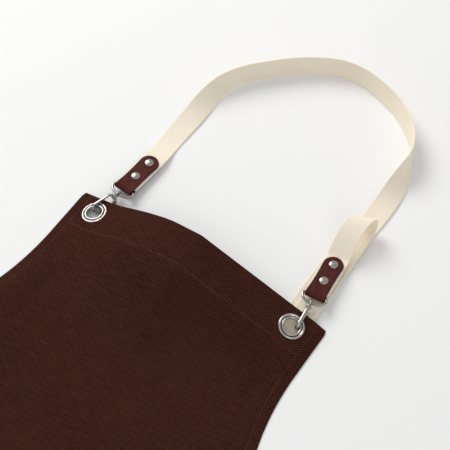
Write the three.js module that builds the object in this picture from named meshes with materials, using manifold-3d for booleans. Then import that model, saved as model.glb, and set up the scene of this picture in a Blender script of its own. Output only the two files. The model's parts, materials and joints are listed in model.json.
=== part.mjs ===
// A butcher's apron lying face up on a table: one canvas panel, tented along its centre crease, with a
// webbing strap clipped to each top corner by a leather tab, a D-ring and a swivel snap hook.
// Millimetres. +X runs across the bib, +Y towards the neck, +Z up out of the front face.
import * as THREE from "three";
import { mergeVertices } from "three/addons/utils/BufferGeometryUtils.js";
import Module from "manifold-3d";

const wasm = await Module();
wasm.setup();

// ---- driving dimensions ----
const gap = 0.3; // clearance between neighbouring pieces
const fineGap = 0.2; // clearance inside the eyelet and the rivets

// canvas panel
const panelLength = 850;
const hipHalfWidth = 350;
const bibHalfWidth = 154;
const cornerTaper = 1.5; // each side draws in this much over the last 5 mm to its top corner
const canvasThickness = 1.2;
const hemDepth = 45; // the stiff double band along the top edge
const armholeStart = 60; // depth below the top edge where each side begins to flare
const armholeDepth = 300; // depth of the hip corner
const crestHeight = 48; // height of the crease over the table at the top edge
const tentEnd = 145; // depth at which the tent has sunk to the table

// webbing
const webbingWidth = 25;
const webbingThickness = 1.5;

// eyelet
const eyeletHole = 8.4; // radii
const eyeletFlange = 14;
const eyeletLip = 10.6;
const eyeletWall = 0.7;
const eyelets = { left: { inset: 28, depth: 19.5 }, right: { inset: 30.5, depth: 20.5 } }; // centres

// D-ring
const ringWire = 1.4; // radius
const ringInnerWidth = 23.4;
const ringDepth = 10; // bar to bow, wire centre to wire centre

// leather tab
const leatherThickness = 1.5;
const tabWidth = 22;
const tabWaist = 0.6; // how far each side draws in below the rivets
const tabLength = 52.7; // bar to rounded end
const rivetFirst = 19.5; // bar to first rivet
const rivetSpacing = 23;

// rivets
const rivetCapRadius = 5;
const rivetCapHeight = 1.9;
const rivetBackRadius = 4.5;
const rivetBackHeight = 0.8;
const rivetTube = 1.7; // outer radius
const rivetPost = 0.9;

// swivel snap hook, lengths along its axis from the D-ring's bow
const eyeBore = 2; // radii
const eyeWire = 1;
const postRadius = 1.5;
const collarStart = 3.8;
const collarLength = 3;
const collarWall = 1.5;
const hookWire = 1.5;
const hookBreadth = 1.35; // the casting is this much broader than it is thick
const spineOffset = 4.8; // spine, above the axis
const gateOffset = 5.4; // gate, below the axis
const noseReach = 32.1; // axis length to the nose's wire centre
const tipWire = 1.2;
const gatePivot = 10.2;
const gateThickness = 1.6;
const gateWidth = 2.2;
const gatePin = 0.6;
const springWire = 0.2;

// ---- small helpers ----
const colours = {
  canvas: [0x4a2a24, 0.95, 0],
  webbing: [0xe9dcc0, 0.95, 0],
  leather: [0x5a221e, 0.5, 0],
  nickel: [0xc9c8c4, 0.22, 1],
};

const radians = THREE.MathUtils.degToRad;
const vec = (x, y, z) => new THREE.Vector3(x, y, z);

// A closed solid with its faces out, whichever way round its outline was drawn.
function solid(geometry) {
  geometry.deleteAttribute("normal");
  geometry.deleteAttribute("uv");
  const merged = mergeVertices(geometry, 1e-4);
  const vertProperties = merged.attributes.position.array;
  const triVerts = new Uint32Array(merged.index.array);
  const made = new wasm.Manifold(new wasm.Mesh({ numProp: 3, vertProperties, triVerts }));
  if (made.volume() > 0) return made;
  triVerts.reverse();
  return new wasm.Manifold(new wasm.Mesh({ numProp: 3, vertProperties, triVerts }));
}

function geometryOf(manifold) {
  const mesh = manifold.getMesh();
  const geometry = new THREE.BufferGeometry();
  geometry.setAttribute("position", new THREE.BufferAttribute(mesh.vertProperties, 3));
  geometry.setIndex(new THREE.BufferAttribute(mesh.triVerts, 1));
  geometry.computeVertexNormals();
  return geometry;
}

function piece(name, kind, manifold, parent) {
  const [color, roughness, metalness] = colours[kind];
  const material = new THREE.MeshStandardMaterial({ color, roughness, metalness });
  const mesh = new THREE.Mesh(geometryOf(manifold), material);
  mesh.name = name;
  parent.add(mesh);
  return mesh;
}

// A ring or a peg turned about Z from [radius, height] points.
function turned(profile, sides) {
  const points = profile.map(([r, z]) => new THREE.Vector2(r, z));
  return solid(new THREE.LatheGeometry(points, sides).rotateX(Math.PI / 2));
}

function rod(radius, from, to, sides = 12) {
  const length = from.distanceTo(to);
  const geometry = new THREE.CylinderGeometry(radius, radius, length, sides);
  const turn = new THREE.Quaternion().setFromUnitVectors(vec(0, 1, 0), to.clone().sub(from).normalize());
  geometry.applyQuaternion(turn);
  const middle = from.clone().add(to).multiplyScalar(0.5);
  return solid(geometry.translate(middle.x, middle.y, middle.z));
}

function wire(points, radius, steps, sides = 8) {
  const section = new THREE.Shape();
  section.absarc(0, 0, radius, 0, 2 * Math.PI);
  const extrudePath = new THREE.CatmullRomCurve3(points, false, "centripetal");
  const options = { steps, extrudePath, bevelEnabled: false, curveSegments: sides / 2 };
  return solid(new THREE.ExtrudeGeometry(section, options));
}

// A flat plate in the XY plane, centred on height zero.
function plate(shape, thickness, curveSegments = 4) {
  const options = { depth: thickness, bevelEnabled: false, curveSegments };
  return solid(new THREE.ExtrudeGeometry(shape, options).translate(0, 0, -thickness / 2));
}

function capsule(x0, x1, y, radius) {
  const shape = new THREE.Shape();
  shape.absarc(x1, y, radius, -Math.PI / 2, Math.PI / 2);
  shape.absarc(x0, y, radius, Math.PI / 2, (3 * Math.PI) / 2);
  return shape;
}

function solidFromFaces(points, faces) {
  const geometry = new THREE.BufferGeometry();
  geometry.setAttribute("position", new THREE.Float32BufferAttribute(points.flat(), 3));
  geometry.setIndex(faces.flat());
  return solid(geometry);
}

const smooth = (from, to, value) => THREE.MathUtils.smoothstep(value, from, to);

// ---- heights that the clipped hooks set ----
const strapStack = 2 * webbingThickness + gap; // two straps lie under the right corner
const hookLow = gateOffset + tipWire + 0.1;
const hooks = {
  left: { side: -1, roll: 35, yaw: -19.5, tabYaw: -3.7, tabX: -118.5, rest: 0.9, rimRoom: 4.6 },
  right: { side: 1, roll: 14, yaw: 5.2, tabYaw: 5.4, tabX: 124.2, rest: strapStack + gap, rimRoom: 3.8 },
};
const rimToBar = 15.6; // the bar lies this much more than the hole's radius above the top edge
const barDepth = rimToBar + eyeletHole;
const ringTilt = 4.6; // degrees that the ring rises from its bar to its bow
for (const hook of Object.values(hooks)) {
  const lean = radians(hook.roll);
  const forkDrop = (gateOffset + hookWire) * Math.cos(lean) + 2.4 * Math.sin(lean);
  hook.bowHeight = hook.rest + forkDrop + 0.3;
  hook.barHeight = hook.bowHeight - ringDepth * Math.sin(radians(ringTilt));
  hook.noseHeight = hook.rest + hookLow * Math.cos(lean) + 0.35;
  // the tab follows its own corner when the bib's width changes
  hook.barX = hook.tabX + hook.side * (bibHalfWidth - 154);
}

// ---- canvas panel ----
const noseX = {}; // the hooks' noses lie just inside the outer rim of their eyelets
for (const [name, hook] of Object.entries(hooks)) {
  const centre = bibHalfWidth - eyelets[name].inset;
  noseX[name] = hook.side * (centre + eyeletHole - hook.rimRoom);
}
const leftSlope = (hooks.left.noseHeight - canvasThickness / 2) / (bibHalfWidth + noseX.left);
const rightSlope = (crestHeight - hooks.right.noseHeight + canvasThickness / 2) / noseX.right;
const edgeBand = 16; // the flat band that runs down each side
const shoulder = bibHalfWidth - 43; // the left slope is straight out to here
const strapRoom = strapStack + 0.9; // free height for the straps under the panel
const roomEnd = 410; // the panel lies flat on the table below this depth
const flatStart = 450;

// Height of the tented top edge's underside; the left half bulges into a round shoulder.
const tentLine = [
  [-bibHalfWidth, 0],
  [-shoulder, leftSlope * (bibHalfWidth - shoulder)],
  [-78, 28],
  [-58, 37],
  [-37, 44.5],
  [0, crestHeight],
  [bibHalfWidth - edgeBand, crestHeight - rightSlope * (bibHalfWidth - edgeBand)],
  [bibHalfWidth, 0],
];

function tentHeight(x) {
  const next = Math.max(1, tentLine.findIndex(([px]) => px >= x));
  const [x0, z0] = tentLine[next - 1];
  const [x1, z1] = tentLine[next];
  return z0 + ((z1 - z0) * (x - x0)) / (x1 - x0);
}

const armhole = new THREE.CubicBezierCurve(
  new THREE.Vector2(bibHalfWidth, armholeStart),
  new THREE.Vector2(bibHalfWidth, armholeDepth - 110),
  new THREE.Vector2(bibHalfWidth + 0.36 * (hipHalfWidth - bibHalfWidth), armholeDepth - 8),
  new THREE.Vector2(hipHalfWidth, armholeDepth),
);

// [depth, half width] of each row of the panel, from the top edge to the bottom hem.
function panelRows() {
  const rows = [[0, bibHalfWidth - cornerTaper], [5, bibHalfWidth], [hemDepth, bibHalfWidth]];
  const armholeSteps = 11;
  for (let i = 0; i <= armholeSteps; i++) {
    const point = armhole.getPoint(i / armholeSteps);
    rows.push([point.y, point.x]);
  }
  for (const depth of [340, 375, roomEnd, flatStart, 640, panelLength]) rows.push([depth, hipHalfWidth]);
  return rows;
}

function panelColumns() {
  const inner = bibHalfWidth - edgeBand;
  const rim = bibHalfWidth - edgeBand / 2;
  const left = [-bibHalfWidth, -rim, -inner, -shoulder, -93, -78, -58, -37, -18, 0];
  const right = [24, 48, 72, 96, 118, inner, rim, bibHalfWidth];
  return [...left, ...right];
}

function undersideHeight(column, depth, halfWidth) {
  const tent = tentHeight(column) * (1 - smooth(hemDepth, tentEnd, depth));
  const inFromEdge = halfWidth * (1 - Math.abs(column) / bibHalfWidth);
  const room = Math.min(strapRoom, leftSlope * inFromEdge) * (1 - smooth(roomEnd, flatStart, depth));
  return Math.max(tent, room);
}

function panelSolid() {
  const rows = panelRows();
  const columns = panelColumns();
  const across = columns.length;
  const points = [];
  for (const lift of [0, canvasThickness]) {
    for (const [depth, halfWidth] of rows) {
      for (const column of columns) {
        const x = (column / bibHalfWidth) * halfWidth;
        points.push([x, -depth, undersideHeight(column, depth, halfWidth) + lift]);
      }
    }
  }
  const top = rows.length * across;
  const faces = [];
  const quad = (a, b, c, d) => faces.push([a, b, c], [a, c, d]);
  for (let r = 0; r + 1 < rows.length; r++) {
    for (let c = 0; c + 1 < across; c++) {
      const a = r * across + c;
      quad(a, a + 1, a + across + 1, a + across);
      quad(top + a + across, top + a + across + 1, top + a + 1, top + a);
    }
  }
  for (let c = 0; c + 1 < across; c++) {
    const last = (rows.length - 1) * across + c;
    quad(c, top + c, top + c + 1, c + 1);
    quad(last + 1, top + last + 1, top + last, last);
  }
  for (let r = 0; r + 1 < rows.length; r++) {
    const start = r * across;
    const end = start + across - 1;
    quad(start + across, top + start + across, top + start, start);
    quad(end, top + end, top + end + across, end + across);
  }
  return solidFromFaces(points, faces);
}

// The eyelet's own frame: Z is the cloth's normal, and the origin is in the middle of the cloth.
function eyeletFrame(name) {
  const slope = name === "left" ? leftSlope : -rightSlope;
  const x = hooks[name].side * (bibHalfWidth - eyelets[name].inset);
  const z = tentHeight(x) + canvasThickness / 2;
  const frame = new THREE.Matrix4().makeRotationY(-Math.atan(slope));
  return frame.setPosition(x, -eyelets[name].depth, z);
}

const clothHole = eyeletHole + eyeletWall + gap;

function eyeletSolid() {
  const top = canvasThickness / 2 + fineGap;
  const bottom = -(canvasThickness / 2 + 2 * fineGap + 0.6);
  const profile = [
    [eyeletHole, bottom - 0.5],
    [eyeletHole + 1.3, bottom - 0.6],
    [eyeletLip, bottom],
    [eyeletHole + eyeletWall, bottom],
    [eyeletHole + eyeletWall, top],
    [eyeletFlange, top],
    [eyeletFlange, top + 0.35],
    [eyeletLip + 0.9, top + 0.8],
    [eyeletLip + 0.2, top + 0.75],
    [eyeletLip - 0.8, top + 1.35],
    [eyeletHole + 0.6, top + 1.2],
    [eyeletHole, top + 0.6],
    [eyeletHole, bottom - 0.5],
  ];
  return turned(profile, 28);
}

function washerSolid() {
  const top = -(canvasThickness / 2 + fineGap);
  const inner = clothHole;
  const outer = eyeletFlange - 0.5;
  const profile = [[inner, top - 0.6], [inner, top], [outer, top], [outer, top - 0.6], [inner, top - 0.6]];
  return turned(profile, 28);
}

// ---- straps: a flat tape through stations, each with its left and right edge ----
// A station is a centre point, the yaw and lean in degrees of the line to the tape's left edge, and a
// stretch factor on the width where the tape is cut on the skew by a fold.
function station([x, y, z, yaw, lean = 0, stretch = 1]) {
  const half = (webbingWidth / 2) * stretch;
  const across = vec(
    Math.cos(radians(lean)) * Math.cos(radians(yaw)),
    Math.cos(radians(lean)) * Math.sin(radians(yaw)),
    Math.sin(radians(lean)),
  ).multiplyScalar(half);
  const centre = vec(x, y, z);
  return { left: centre.clone().add(across), right: centre.clone().sub(across) };
}

function smoothRun(list, perSpan) {
  const ends = list.map(station);
  const left = new THREE.CatmullRomCurve3(ends.map((e) => e.left));
  const right = new THREE.CatmullRomCurve3(ends.map((e) => e.right));
  const steps = perSpan * (list.length - 1);
  const run = [];
  for (let i = 0; i <= steps; i++) {
    run.push({ left: left.getPoint(i / steps), right: right.getPoint(i / steps) });
  }
  return run;
}

function tapeSolid(sections) {
  const points = [];
  sections.forEach((section, i) => {
    const before = sections[Math.max(0, i - 1)];
    const after = sections[Math.min(sections.length - 1, i + 1)];
    for (const side of ["left", "right"]) {
      const along = after[side].clone().sub(before[side]);
      const across = section.left.clone().sub(section.right);
      const normal = along.cross(across).normalize().multiplyScalar(webbingThickness / 2);
      points.push(section[side].clone().add(normal).toArray());
      points.push(section[side].clone().sub(normal).toArray());
    }
  });
  const faces = [];
  const quad = (a, b, c, d) => faces.push([a, b, c], [a, c, d]);
  const corners = [0, 2, 3, 1];
  for (let i = 0; i + 1 < sections.length; i++) {
    for (let k = 0; k < 4; k++) {
      const a = 4 * i + corners[k];
      const b = 4 * i + corners[(k + 1) % 4];
      quad(a, b, b + 4, a + 4);
    }
  }
  const end = 4 * (sections.length - 1);
  quad(1, 3, 2, 0);
  quad(end, end + 2, end + 3, end + 1);
  return solidFromFaces(points, faces);
}

// The tab's own frame: origin on the D-ring's bar, +Y up the tab, +Z out of its front face.
const tabFrames = {};
for (const [name, hook] of Object.entries(hooks)) {
  const endHeight = hook.rest + rivetBackHeight + leatherThickness + webbingThickness / 2 + 1.1;
  const pitch = Math.asin((endHeight - hook.barHeight) / tabLength);
  const turn = new THREE.Euler(pitch, 0, radians(hook.tabYaw), "ZXY");
  tabFrames[name] = new THREE.Matrix4().makeRotationFromEuler(turn);
  tabFrames[name].setPosition(hook.barX, barDepth, hook.barHeight);
}

const tableHeight = webbingThickness / 2 + 0.1;
const secondHeight = tableHeight + webbingThickness + gap;

// Height of the tape's centre when its lower edge rests on the table at a lean.
function leaningHeight(lean) {
  const angle = radians(lean);
  return (webbingWidth / 2) * Math.sin(angle) + (webbingThickness / 2) * Math.abs(Math.cos(angle)) + 0.35;
}

function tabStations(name, depths) {
  const yaw = 180 + hooks[name].tabYaw;
  return depths.map((depth) => {
    const point = vec(0, depth, 0).applyMatrix4(tabFrames[name]);
    return [point.x, point.y, point.z, yaw, 0];
  });
}

const webbingStart = 5; // the webbing's end stops this far short of the bar
const underTab = [webbingStart, rivetFirst, rivetFirst + rivetSpacing, tabLength - 4, tabLength + 1.5];
const hipX = hipHalfWidth - 32;
const hipDepth = armholeDepth + 28;
const seamHeight = strapRoom - gap - webbingThickness / 2; // a sewn end lies close under the canvas
const shift = bibHalfWidth - 154; // the straps' top stations follow the tabs

// Up from the left tab, over the neck on its edge, flat again and down under the bib to the right hip.
function leftStrapSections() {
  const arc = [
    [-116.3, 100, 180, 0], [-115.8, 125, 179, 4], [-114.6, 150, 178, 14], [-113, 176, 174, 36],
    [-108.5, 200, 160, 60], [-96.5, 224, 142, 74], [-80, 243, 134, 78], [-58.5, 264, 129, 78],
    [-35, 281, 120, 78], [-10, 293.5, 105, 77], [17, 297, 88, 76], [47, 291, 72, 74],
    [75, 279.5, 54, 74], [98, 262.5, 36, 78], [112.5, 245, 22, 87], [120, 228, 14, 99],
    [123, 210, 8, 122], [124, 191, 4, 148], [124.3, 171, 0, 166], [124, 150, -3, 175],
    [122.5, 128, -4, 180], [120, 104, -5, 180], [117.6, 78, -2, 180], [117, 50, 0, 180],
    [117, 20, 0, 180], [117, -20, 0, 180], [117, -60, 0, 180], [119, -110, 4, 180],
    [128, -165, 14, 180], [148, -220, 30, 180],
  ];
  const route = arc.map(([x, y, yaw, lean]) => {
    const follow = shift * Math.sign(x) * Math.min(1, Math.abs(x) / 118);
    return [x + follow, y, leaningHeight(lean), yaw, lean];
  });
  const drop = -hipDepth;
  const hidden = [
    [hipX - 132, drop + 62, tableHeight + 0.1, 45, 180],
    [hipX - 85, drop + 26, tableHeight + 0.3, 60, 180],
    [hipX - 36, drop + 7, seamHeight - 0.6, 76, 180],
    [hipX, drop, seamHeight, 84, 180],
  ];
  const start = tabStations("left", underTab);
  return smoothRun([...start, ...route, ...hidden], 2);
}

// A flat fold: the tape turns over about a skew line and leaves to the left, one layer higher.
const foldX = 124 + shift;
const foldDepth = 380;

function foldSections() {
  const line = vec(-1, -1, 0).normalize();
  const out = vec(1, -1, 0).normalize();
  const radius = (secondHeight - tableHeight) / 2;
  const steps = 4;
  const half = (webbingWidth / 2) * Math.SQRT2;
  const run = [];
  for (let i = 0; i <= steps; i++) {
    const angle = (Math.PI * i) / steps;
    const centre = vec(foldX, -foldDepth, tableHeight + radius * (1 - Math.cos(angle)));
    centre.addScaledVector(out, radius * Math.sin(angle));
    run.push({
      left: centre.clone().addScaledVector(line, half),
      right: centre.clone().addScaledVector(line, -half),
    });
  }
  return run;
}

// Out of the right tab into a standing loop, back under the tab and the bib, then across to the left hip.
function rightStrapSections() {
  const start = tabStations("right", underTab);
  const loop = [
    [118.2, 87, 13, 187], [117.6, 98, 19.5, 189], [117.6, 109, 24, 191], [118.2, 119, 25.5, 194],
    [119.6, 127.5, 22.5, 197], [120.9, 131.5, 16.5, 197], [122, 129.5, 10, 194], [123, 122, 5.8, 190],
    [123.8, 110, 3.6, 185], [124, 97, secondHeight + 0.15, 181], [124, 77, secondHeight + 0.1, 180],
    [124, 45, secondHeight + 0.1, 180], [124, 10, secondHeight + 0.1, 180],
    [124, -40, secondHeight + 0.1, 180], [124, -100, secondHeight + 0.1, 180],
    [124, -170, secondHeight + 0.1, 180], [124, -245, secondHeight + 0.1, 180],
    [124, -285, secondHeight - 0.6, 180], [124, -325, tableHeight + 0.1, 180],
    [124, -350, tableHeight, 180],
  ].map(([x, y, z, yaw]) => [x + shift, y, z, yaw]);
  const across = [
    [foldX - 30, -foldDepth, secondHeight, 270], [foldX - 75, -foldDepth, secondHeight - 0.6, 270],
    [foldX - 120, -foldDepth, tableHeight + 0.1, 270], [-60, -foldDepth, tableHeight, 269],
    [-0.5 * hipX, -foldDepth + 9, tableHeight, 262], [-hipX + 70, -hipDepth - 18, tableHeight + 0.2, 256],
    [-hipX + 30, -hipDepth - 6, seamHeight - 0.6, 254], [-hipX, -hipDepth, seamHeight, 252],
  ];
  return [...smoothRun([...start, ...loop], 2), ...foldSections(), ...smoothRun(across, 2)];
}

// ---- leather tab, rivets and D-ring, in the tab's frame ----
const foldInner = ringWire + 0.4;
const foldOuter = foldInner + leatherThickness;
const sandwichInner = webbingThickness / 2 + gap;
const sandwichOuter = sandwichInner + leatherThickness;
const taperEnd = 8;
const rivetHole = rivetTube + gap;
const rivetDepths = { lower: rivetFirst, upper: rivetFirst + rivetSpacing };

function rivetBore(depth) {
  return rod(rivetHole, vec(0, depth, -12), vec(0, depth, 12), 12);
}

function tabSolid() {
  const side = new THREE.Shape();
  side.moveTo(tabLength, sandwichOuter);
  side.lineTo(taperEnd, sandwichOuter);
  side.lineTo(0, foldOuter);
  side.absarc(0, 0, foldOuter, Math.PI / 2, (3 * Math.PI) / 2, false);
  side.lineTo(taperEnd, -sandwichOuter);
  side.lineTo(tabLength, -sandwichOuter);
  side.lineTo(tabLength, -sandwichInner);
  side.lineTo(taperEnd, -sandwichInner);
  side.lineTo(0, -foldInner);
  side.absarc(0, 0, foldInner, (3 * Math.PI) / 2, Math.PI / 2, true);
  side.lineTo(taperEnd, sandwichInner);
  side.lineTo(tabLength, sandwichInner);
  const strip = new THREE.ExtrudeGeometry(side, { depth: 2 * tabWidth, bevelEnabled: false, curveSegments: 5 });
  strip.translate(0, 0, -tabWidth);
  strip.applyMatrix4(new THREE.Matrix4().makeBasis(vec(0, 1, 0), vec(0, 0, 1), vec(1, 0, 0)));
  const half = tabWidth / 2;
  const roundStart = tabLength - half;
  const outline = new THREE.Shape();
  outline.moveTo(-half, -foldOuter - 1);
  outline.lineTo(half, -foldOuter - 1);
  outline.lineTo(half, 3);
  outline.quadraticCurveTo(half - 2 * tabWaist, roundStart / 2, half, roundStart);
  outline.absarc(0, roundStart, half, 0, Math.PI, false);
  outline.quadraticCurveTo(-half + 2 * tabWaist, roundStart / 2, -half, 3);
  return solid(strip)
    .intersect(plate(outline, 12, 6))
    .subtract(rivetBore(rivetDepths.lower))
    .subtract(rivetBore(rivetDepths.upper));
}

function rivetCapSolid() {
  const base = sandwichOuter + fineGap;
  const bore = rivetPost + fineGap;
  const end = -(sandwichInner + 0.4);
  const profile = [
    [bore, end],
    [rivetTube, end],
    [rivetTube, base],
    [rivetCapRadius, base],
    [rivetCapRadius, base + 0.35],
    [0.8 * rivetCapRadius, base + 0.7 * rivetCapHeight],
    [0.42 * rivetCapRadius, base + 0.96 * rivetCapHeight],
    [0, base + rivetCapHeight],
    [0, base - 0.4],
    [bore, base - 0.4],
    [bore, end],
  ];
  return turned(profile, 16);
}

function rivetBackSolid() {
  const base = -(sandwichOuter + fineGap);
  const profile = [
    [0, base - rivetBackHeight],
    [0.7 * rivetBackRadius, base - rivetBackHeight],
    [rivetBackRadius, base - 0.3],
    [rivetBackRadius, base],
    [rivetPost, base],
    [rivetPost, sandwichOuter - 0.6],
    [0, sandwichOuter - 0.6],
  ];
  return turned(profile, 16);
}

const ringHalf = ringInnerWidth / 2 + ringWire;

// The D: a straight bar and a bow that is fuller than a half ellipse. Bar on the origin, bow towards -Y.
function ringSolid() {
  const bow = [];
  const steps = 12;
  const fullness = 0.82;
  for (let i = 0; i <= steps; i++) {
    const angle = (Math.PI * i) / steps;
    const x = -ringHalf * Math.sign(Math.cos(angle)) * Math.abs(Math.cos(angle)) ** fullness;
    bow.push(vec(x, -ringDepth * Math.sin(angle) ** fullness, 0));
  }
  const bar = rod(ringWire, vec(-ringHalf - 0.6, 0, 0), vec(ringHalf + 0.6, 0, 0), 10);
  return wire(bow, ringWire, 26).add(bar);
}

// ---- swivel eye and snap hook: X along the axis to the nose, Y towards the spine ----
const eyeCentre = eyeBore - ringWire - gap;
const headStart = collarStart + collarLength + gap;
const headRadius = postRadius + 0.9;

function eyeSolid() {
  const loop = new THREE.TorusGeometry(eyeBore + eyeWire, eyeWire, 8, 18);
  const ring = solid(loop.translate(eyeCentre, 0, 0));
  const neck = eyeCentre + eyeBore + 0.9 * eyeWire;
  const post = rod(postRadius, vec(neck, 0, 0), vec(headStart + 0.6, 0, 0));
  const head = rod(headRadius, vec(headStart, 0, 0), vec(headStart + 1, 0, 0));
  return ring.add(post).add(head);
}

const noseRadius = (spineOffset + gateOffset) / 2;
const noseCentre = noseReach - noseRadius;
const noseMiddle = (spineOffset - gateOffset) / 2;
const tipEnd = noseCentre - 2.6;
const forkHalf = gateWidth / 2 + gap;
const cheek = 0.8;

function hookSolid() {
  const spine = [
    vec(collarStart + 1.4, postRadius + gap + 0.9, 0),
    vec(collarStart + 3.4, postRadius + 1.9, 0),
    vec(gatePivot, spineOffset - 0.1, 0),
    vec(0.5 * (gatePivot + noseCentre), spineOffset, 0),
    vec(noseCentre - 2, spineOffset, 0),
  ];
  const turnSteps = 8;
  for (let i = 1; i < turnSteps; i++) {
    const angle = Math.PI / 2 - (Math.PI * i) / turnSteps;
    const x = noseCentre + noseRadius * Math.cos(angle);
    spine.push(vec(x, noseMiddle + noseRadius * Math.sin(angle), 0));
  }
  spine.push(vec(noseCentre - 0.6, -gateOffset, 0), vec(tipEnd, -gateOffset, 0));
  const body = wire(spine, hookWire, 34).scale([1, 1, hookBreadth]);
  const stub = wire(
    [vec(collarStart + 1.4, -postRadius - gap - 0.9, 0), vec(gatePivot - 3.2, -gateOffset + 0.8, 0),
      vec(gatePivot - 2.2, -gateOffset, 0)],
    hookWire, 4,
  ).scale([1, 1, hookBreadth]);
  const outer = postRadius + gap + collarWall;
  const collar = rod(outer, vec(collarStart, 0, 0), vec(collarStart + collarLength, 0, 0), 16);
  const bore = rod(postRadius + gap, vec(0, 0, 0), vec(headStart + 2, 0, 0), 16);
  const headRoom = rod(headRadius + gap, vec(headStart - gap, 0, 0), vec(headStart + 2, 0, 0), 16);
  let made = body.add(stub).add(collar).subtract(bore).subtract(headRoom);
  const web = plate(capsule(gatePivot - 3.4, gatePivot - 2.9, -gateOffset, hookWire), 2 * (forkHalf + cheek));
  made = made.add(web);
  for (const side of [-1, 1]) {
    const z = side * (forkHalf + cheek / 2);
    const arm = plate(capsule(gatePivot - 3.2, gatePivot, -gateOffset, hookWire), cheek).translate([0, 0, z]);
    made = made.add(arm);
  }
  const pinHole = gatePin + gap;
  return made.subtract(rod(pinHole, vec(gatePivot, -gateOffset, -6), vec(gatePivot, -gateOffset, 6), 10));
}

const gateEnd = tipEnd - gap;
const gateCheek = 0.55;

// The gate in its own frame: pivot on the origin, blade along +X.
function gateSolid() {
  const half = gateThickness / 2;
  const blade = plate(capsule(3.4, gateEnd - gatePivot - half, 0, half), gateWidth);
  let made = blade;
  for (const side of [-1, 1]) {
    const z = side * (gateWidth / 2 - gateCheek / 2);
    made = made.add(plate(capsule(0, 3.6, 0, half + 0.5), gateCheek).translate([0, 0, z]));
  }
  return made.subtract(rod(gatePin + 0.25, vec(0, 0, -4), vec(0, 0, 4), 10));
}

function gatePinSolid() {
  const end = forkHalf + cheek + 0.3;
  return rod(gatePin, vec(0, 0, -end), vec(0, 0, end), 10);
}

// A coil round the pin, between the gate's cheeks, with one leg along the blade.
function gateSpringSolid() {
  const coil = gatePin + 0.35 + springWire;
  const turns = 1.25;
  const steps = 10;
  const pitch = 0.42;
  const points = [];
  for (let i = 0; i <= steps; i++) {
    const angle = (2 * Math.PI * turns * i) / steps - Math.PI;
    points.push(vec(coil * Math.cos(angle), coil * Math.sin(angle), pitch * turns * (i / steps - 0.5)));
  }
  points.push(vec(1.9, -coil, 0.36));
  return wire(points, springWire, 20, 6);
}

// ---- assembly ----
const apron = new THREE.Group();

let panel = panelSolid();
for (const name of Object.keys(hooks)) {
  const frame = eyeletFrame(name);
  const punch = rod(clothHole, vec(0, 0, -6), vec(0, 0, 6), 28).transform(frame.elements);
  panel = panel.subtract(punch);
}
piece("apron_panel", "canvas", panel, apron);

const strapSections = { left: leftStrapSections(), right: rightStrapSections() };

for (const [name, hook] of Object.entries(hooks)) {
  const eyeletGroup = new THREE.Group();
  eyeletGroup.applyMatrix4(eyeletFrame(name));
  apron.add(eyeletGroup);
  piece("bib_eyelet_" + name, "nickel", eyeletSolid(), eyeletGroup);
  piece("bib_eyelet_washer_" + name, "nickel", washerSolid(), eyeletGroup);

  let strap = tapeSolid(strapSections[name]);
  for (const depth of Object.values(rivetDepths)) {
    strap = strap.subtract(rivetBore(depth).transform(tabFrames[name].elements));
  }
  piece("strap_" + name, "webbing", strap, apron);

  const tabGroup = new THREE.Group();
  tabGroup.applyMatrix4(tabFrames[name]);
  apron.add(tabGroup);
  piece("leather_tab_" + name, "leather", tabSolid(), tabGroup);
  for (const [place, depth] of Object.entries(rivetDepths)) {
    piece(`rivet_cap_${name}_${place}`, "nickel", rivetCapSolid(), tabGroup).position.y = depth;
    piece(`rivet_back_${name}_${place}`, "nickel", rivetBackSolid(), tabGroup).position.y = depth;
  }

  // the ring turns on its bar, and its bow carries the swivel eye
  const ringGroup = new THREE.Group();
  ringGroup.name = "ring_pivot_" + name;
  ringGroup.position.set(hook.barX, barDepth, hook.barHeight);
  ringGroup.rotation.set(-radians(ringTilt), 0, radians(hook.tabYaw), "ZXY");
  apron.add(ringGroup);
  piece("d_ring_" + name, "nickel", ringSolid(), ringGroup);

  ringGroup.updateMatrixWorld(true);
  const bow = vec(0, -ringDepth, 0).applyMatrix4(ringGroup.matrixWorld);
  const heading = vec(Math.sin(radians(hook.yaw)), -Math.cos(radians(hook.yaw)), 0);
  const axis = heading.clone().setZ((hook.noseHeight - bow.z) / noseReach).normalize();
  const flat = vec(0, 0, 1).cross(axis).normalize();
  const upright = axis.clone().cross(flat);
  const eyeGroup = new THREE.Group();
  eyeGroup.name = "eye_pivot_" + name;
  eyeGroup.applyMatrix4(new THREE.Matrix4().makeBasis(axis, upright, axis.clone().cross(upright)));
  eyeGroup.position.copy(bow);
  apron.add(eyeGroup);
  piece("swivel_eye_" + name, "nickel", eyeSolid(), eyeGroup);

  const hookGroup = new THREE.Group();
  hookGroup.name = "hook_pivot_" + name;
  hookGroup.rotation.x = -hook.side * radians(hook.roll);
  eyeGroup.add(hookGroup);
  piece("hook_body_" + name, "nickel", hookSolid(), hookGroup);

  const gateGroup = new THREE.Group();
  gateGroup.name = "gate_pivot_" + name;
  gateGroup.position.set(gatePivot, -gateOffset, 0);
  hookGroup.add(gateGroup);
  piece("gate_pin_" + name, "nickel", gatePinSolid(), gateGroup);
  piece("hook_gate_" + name, "nickel", gateSolid(), gateGroup);
  piece("gate_spring_" + name, "nickel", gateSpringSolid(), gateGroup);
}

// the frame's origin is the middle of the whole apron's footprint, on the table
const footprint = new THREE.Box3().setFromObject(apron);
apron.position.set(-(footprint.min.x + footprint.max.x) / 2, -(footprint.min.y + footprint.max.y) / 2, 0);

const model = new THREE.Group();
model.add(apron);
export default model;
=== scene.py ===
"""A butcher apron laid out on a pale table: canvas bib, webbing straps, leather tabs and snap hooks."""
import json
import math
import random

import bmesh
import bpy
from mathutils import Matrix, Vector


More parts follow.
